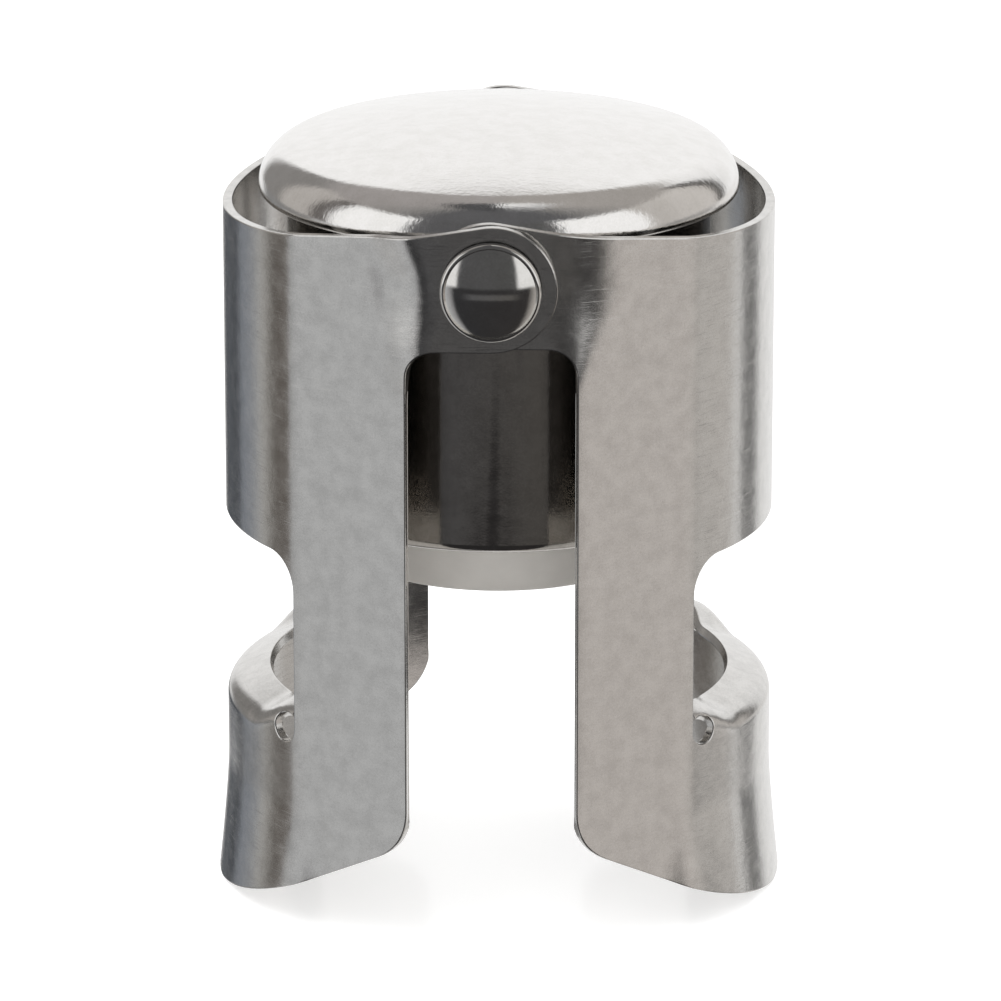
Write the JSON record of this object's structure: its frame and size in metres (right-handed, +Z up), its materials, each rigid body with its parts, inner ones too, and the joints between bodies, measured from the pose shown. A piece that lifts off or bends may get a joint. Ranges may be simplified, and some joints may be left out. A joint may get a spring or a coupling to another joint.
{
  "type": "champagne stopper",
  "caption": "Spring-loaded bottle stopper: domed steel cap over a cup with a soft plug, and hinged side arms whose lips hook under the bottle's rim.",
  "frame": {"origin": "bottom centre of the object, on the surface that the feet of the arms stand on", "axes": "+Z up along the stopper's axis, +X towards the right arm, -Y towards the front rivet"},
  "size_m": [0.0464, 0.0486, 0.0637],
  "materials": {
    "polished_steel": "polished",
    "satin_steel": "satin",
    "zinc_steel": "zinc plated",
    "silicone": "matte",
    "plastic": "matte"
  },
  "bodies": {
    "cup": {"body_cup": "satin_steel", "dome_cap": "polished_steel", "front_rivet": "polished_steel", "rear_rivet": "polished_steel", "front_bush": "zinc_steel", "rear_bush": "zinc_steel", "compression_spring": "zinc_steel"},
    "plunger": {"plunger": "plastic", "seal": "silicone"},
    "left_arm": {"left_arm": "satin_steel"},
    "right_arm": {"right_arm": "satin_steel"}
  },
  "joints": [
    {"name": "left_arm_hinge", "type": "hinge", "parent": "cup", "child": "left_arm", "pos_m": [0, 0, 0.0557], "axis": [0, 1, 0], "range_deg": [-5, 55]},
    {"name": "right_arm_hinge", "type": "hinge", "parent": "cup", "child": "right_arm", "pos_m": [0, 0, 0.0557], "axis": [0, -1, 0], "range_deg": [-5, 55]},
    {"name": "plunger_slide", "type": "slide", "parent": "cup", "child": "plunger", "axis": [0, 0, 1], "range_m": [0, 0.005], "stiffness_N_per_m": 580, "springref_m": -0.02, "deforming": ["compression_spring"]}
  ]
}
